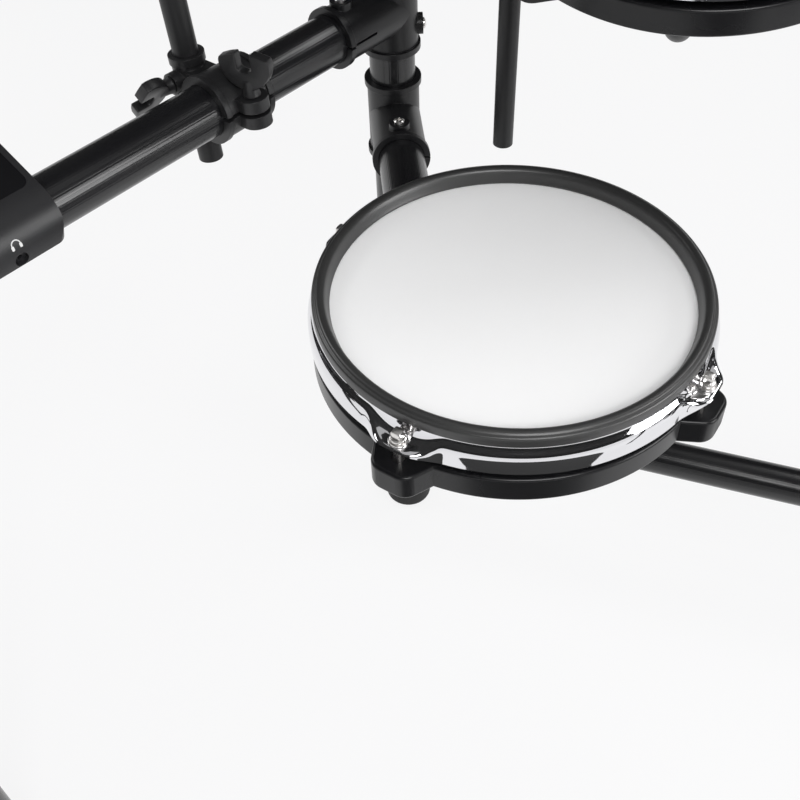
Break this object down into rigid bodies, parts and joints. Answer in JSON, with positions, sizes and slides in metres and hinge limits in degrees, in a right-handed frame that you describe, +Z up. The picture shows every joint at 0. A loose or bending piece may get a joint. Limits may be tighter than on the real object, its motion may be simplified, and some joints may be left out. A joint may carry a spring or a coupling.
{
  "type": "electronic drum kit",
  "caption": "Electronic drum kit: mesh drum pads and rubber cymbal pads clamped to a black tube rack, with a tilting sound module on the left arm.",
  "frame": {"origin": "on the floor, on the axis of the rear left post", "axes": "+X to the drummer's right along the rear crossbars, +Y away from the drummer, +Z up"},
  "size_m": [1.3404, 0.6704, 1.096],
  "materials": {
    "black_tube": "black anodised, finely fluted",
    "joint_plastic": "satin",
    "bright_screw": "nickel",
    "foot_rubber": "matte",
    "clamp_plastic": "satin",
    "black_rod": "satin black",
    "shell_plastic": "glossy",
    "chrome_hoop": "polished",
    "rim_rubber": "matte",
    "white_mesh": "woven",
    "nickel_rod": "nickel plated",
    "trigger_foam": "foam",
    "cymbal_rubber": "matte",
    "module_plastic": "satin",
    "module_panel": "glossy",
    "screen_glass": "glossy",
    "circuit_board": "lacquered",
    "control_plastic": "satin"
  },
  "bodies": {
    "rack": {"rear_posts": "black_tube", "front_posts": "black_tube", "side_arms": "black_tube", "pad_arms": "black_tube", "crossbars": "black_tube", "rack_tees": "joint_plastic", "tee_screws": "bright_screw", "tube_caps": "joint_plastic", "rubber_feet": "foot_rubber", "clamp_bodies": "clamp_plastic", "clamp_caps": "clamp_plastic", "clamp_wing_bolts": "clamp_plastic"},
    "hihat_clamp_wing": {"hihat_clamp_wing": "clamp_plastic"},
    "hihat_rod_wing": {"hihat_rod_wing": "clamp_plastic"},
    "snare_stand": {"snare_rod": "black_rod"},
    "snare_pad": {"snare_shell": "shell_plastic", "snare_head": "white_mesh", "snare_hoop": "chrome_hoop", "snare_rim": "rim_rubber", "snare_tension_rods": "nickel_rod", "snare_trigger": "trigger_foam"},
    "floor_tom_stand": {"floor_tom_rod": "black_rod"},
    "floor_tom_pad": {"floor_tom_shell": "shell_plastic", "floor_tom_head": "white_mesh", "floor_tom_hoop": "chrome_hoop", "floor_tom_rim": "rim_rubber", "floor_tom_tension_rods": "nickel_rod", "floor_tom_trigger": "trigger_foam"},
    "left_tom_stand": {"left_tom_rod": "black_rod"},
    "left_tom_pad": {"left_tom_shell": "shell_plastic", "left_tom_head": "white_mesh", "left_tom_hoop": "chrome_hoop", "left_tom_rim": "rim_rubber", "left_tom_tension_rods": "nickel_rod", "left_tom_trigger": "trigger_foam"},
    "right_tom_stand": {"right_tom_rod": "black_rod"},
    "right_tom_pad": {"right_tom_shell": "shell_plastic", "right_tom_head": "white_mesh", "right_tom_hoop": "chrome_hoop", "right_tom_rim": "rim_rubber", "right_tom_tension_rods": "nickel_rod", "right_tom_trigger": "trigger_foam"},
    "hihat_stand": {"hihat_rod": "black_rod", "hihat_wing_nut": "clamp_plastic"},
    "hihat_cymbal": {"hihat_cymbal": "cymbal_rubber"},
    "crash_stand": {"crash_rod": "black_rod", "crash_wing_nut": "clamp_plastic"},
    "crash_cymbal": {"crash_cymbal": "cymbal_rubber"},
    "ride_stand": {"ride_rod": "black_rod", "ride_wing_nut": "clamp_plastic"},
    "ride_cymbal": {"ride_cymbal": "cymbal_rubber"},
    "module": {"module_case": "module_plastic", "module_cover": "module_panel", "module_board": "circuit_board", "module_screen": "screen_glass", "module_bracket": "joint_plastic"},
    "volume_knob": {"volume_knob": "control_plastic"},
    "data_dial": {"data_dial": "control_plastic"},
    "start_button": {"start_button": "control_plastic"},
    "menu_button": {"menu_button": "control_plastic"}
  },
  "joints": [
    {"name": "hihat_clamp_wing_turn", "type": "hinge", "parent": "rack", "child": "hihat_clamp_wing", "pos_m": [-0.04445, -0.16945, 0.6531], "axis": [-0.0718, 0.0316, 0.9969], "continuous": true},
    {"name": "hihat_rod_wing_turn", "type": "hinge", "parent": "rack", "child": "hihat_rod_wing", "pos_m": [-0.11449, -0.15982, 0.64384], "axis": [-0.4027, -0.9153, 0], "continuous": true},
    {"name": "snare_height", "type": "slide", "parent": "rack", "child": "snare_stand", "axis": [0, 0, 1], "range_m": [-0.012, 0.04]},
    {"name": "snare_swivel", "type": "hinge", "parent": "snare_stand", "child": "snare_pad", "pos_m": [0.1769, -0.30808, 0.65], "axis": [0, 0, 1], "range_deg": [-90, 90]},
    {"name": "floor_tom_height", "type": "slide", "parent": "rack", "child": "floor_tom_stand", "axis": [0, 0, 1], "range_m": [-0.012, 0.04]},
    {"name": "floor_tom_swivel", "type": "hinge", "parent": "floor_tom_stand", "child": "floor_tom_pad", "pos_m": [0.6231, -0.30808, 0.65], "axis": [0, 0, 1], "range_deg": [-90, 90]},
    {"name": "left_tom_reach", "type": "slide", "parent": "rack", "child": "left_tom_stand", "axis": [0, -1, 0], "range_m": [-0.005, 0.03]},
    {"name": "left_tom_swivel", "type": "hinge", "parent": "left_tom_stand", "child": "left_tom_pad", "pos_m": [0.2305, -0.1195, 0.837], "axis": [0, -0.1977, 0.9803], "range_deg": [-55, 2]},
    {"name": "right_tom_reach", "type": "slide", "parent": "rack", "child": "right_tom_stand", "axis": [0, -1, 0], "range_m": [-0.005, 0.03]},
    {"name": "right_tom_swivel", "type": "hinge", "parent": "right_tom_stand", "child": "right_tom_pad", "pos_m": [0.5695, -0.1195, 0.837], "axis": [0, -0.1977, 0.9803], "range_deg": [-45, 45]},
    {"name": "hihat_height", "type": "slide", "parent": "rack", "child": "hihat_stand", "axis": [-0.0718, 0.0316, 0.9969], "range_m": [-0.06, 0.04]},
    {"name": "hihat_rock", "type": "hinge", "parent": "hihat_stand", "child": "hihat_cymbal", "pos_m": [-0.12413, -0.13439, 0.88609], "axis": [0.4027, 0.9153, 0], "range_deg": [-12, 12]},
    {"name": "crash_height", "type": "slide", "parent": "rack", "child": "crash_stand", "axis": [0, 0, 1], "range_m": [-0.05, 0.06]},
    {"name": "crash_rock", "type": "hinge", "parent": "crash_stand", "child": "crash_cymbal", "pos_m": [0.1065, -0.04, 1.062], "axis": [-1, 0, 0], "range_deg": [-12, 12]},
    {"name": "ride_height", "type": "slide", "parent": "rack", "child": "ride_stand", "axis": [0.0718, 0.0316, 0.9969], "range_m": [-0.06, 0.04]},
    {"name": "ride_rock", "type": "hinge", "parent": "ride_stand", "child": "ride_cymbal", "pos_m": [0.93059, -0.13154, 0.97581], "axis": [0.4027, -0.9153, 0], "range_deg": [-12, 12]},
    {"name": "module_tilt", "type": "hinge", "parent": "rack", "child": "module", "pos_m": [-0.16915, -0.38443, 0.64], "axis": [-0.4027, -0.9153, 0], "range_deg": [-20, 25]},
    {"name": "volume_knob_turn", "type": "hinge", "parent": "module", "child": "volume_knob", "pos_m": [-0.19296, -0.42858, 0.69029], "axis": [0.3325, -0.1463, 0.9317], "range_deg": [-150, 150]},
    {"name": "data_dial_turn", "type": "hinge", "parent": "module", "child": "data_dial", "pos_m": [-0.1559, -0.34437, 0.69029], "axis": [0.3325, -0.1463, 0.9317], "continuous": true},
    {"name": "start_button_press", "type": "slide", "parent": "module", "child": "start_button", "axis": [-0.3325, 0.1463, -0.9317], "range_m": [0, 0.001], "stiffness_N_per_m": 800, "springref_m": -0.0008},
    {"name": "menu_button_press", "type": "slide", "parent": "module", "child": "menu_button", "axis": [-0.3325, 0.1463, -0.9317], "range_m": [0, 0.001], "stiffness_N_per_m": 800, "springref_m": -0.0008}
  ]
}
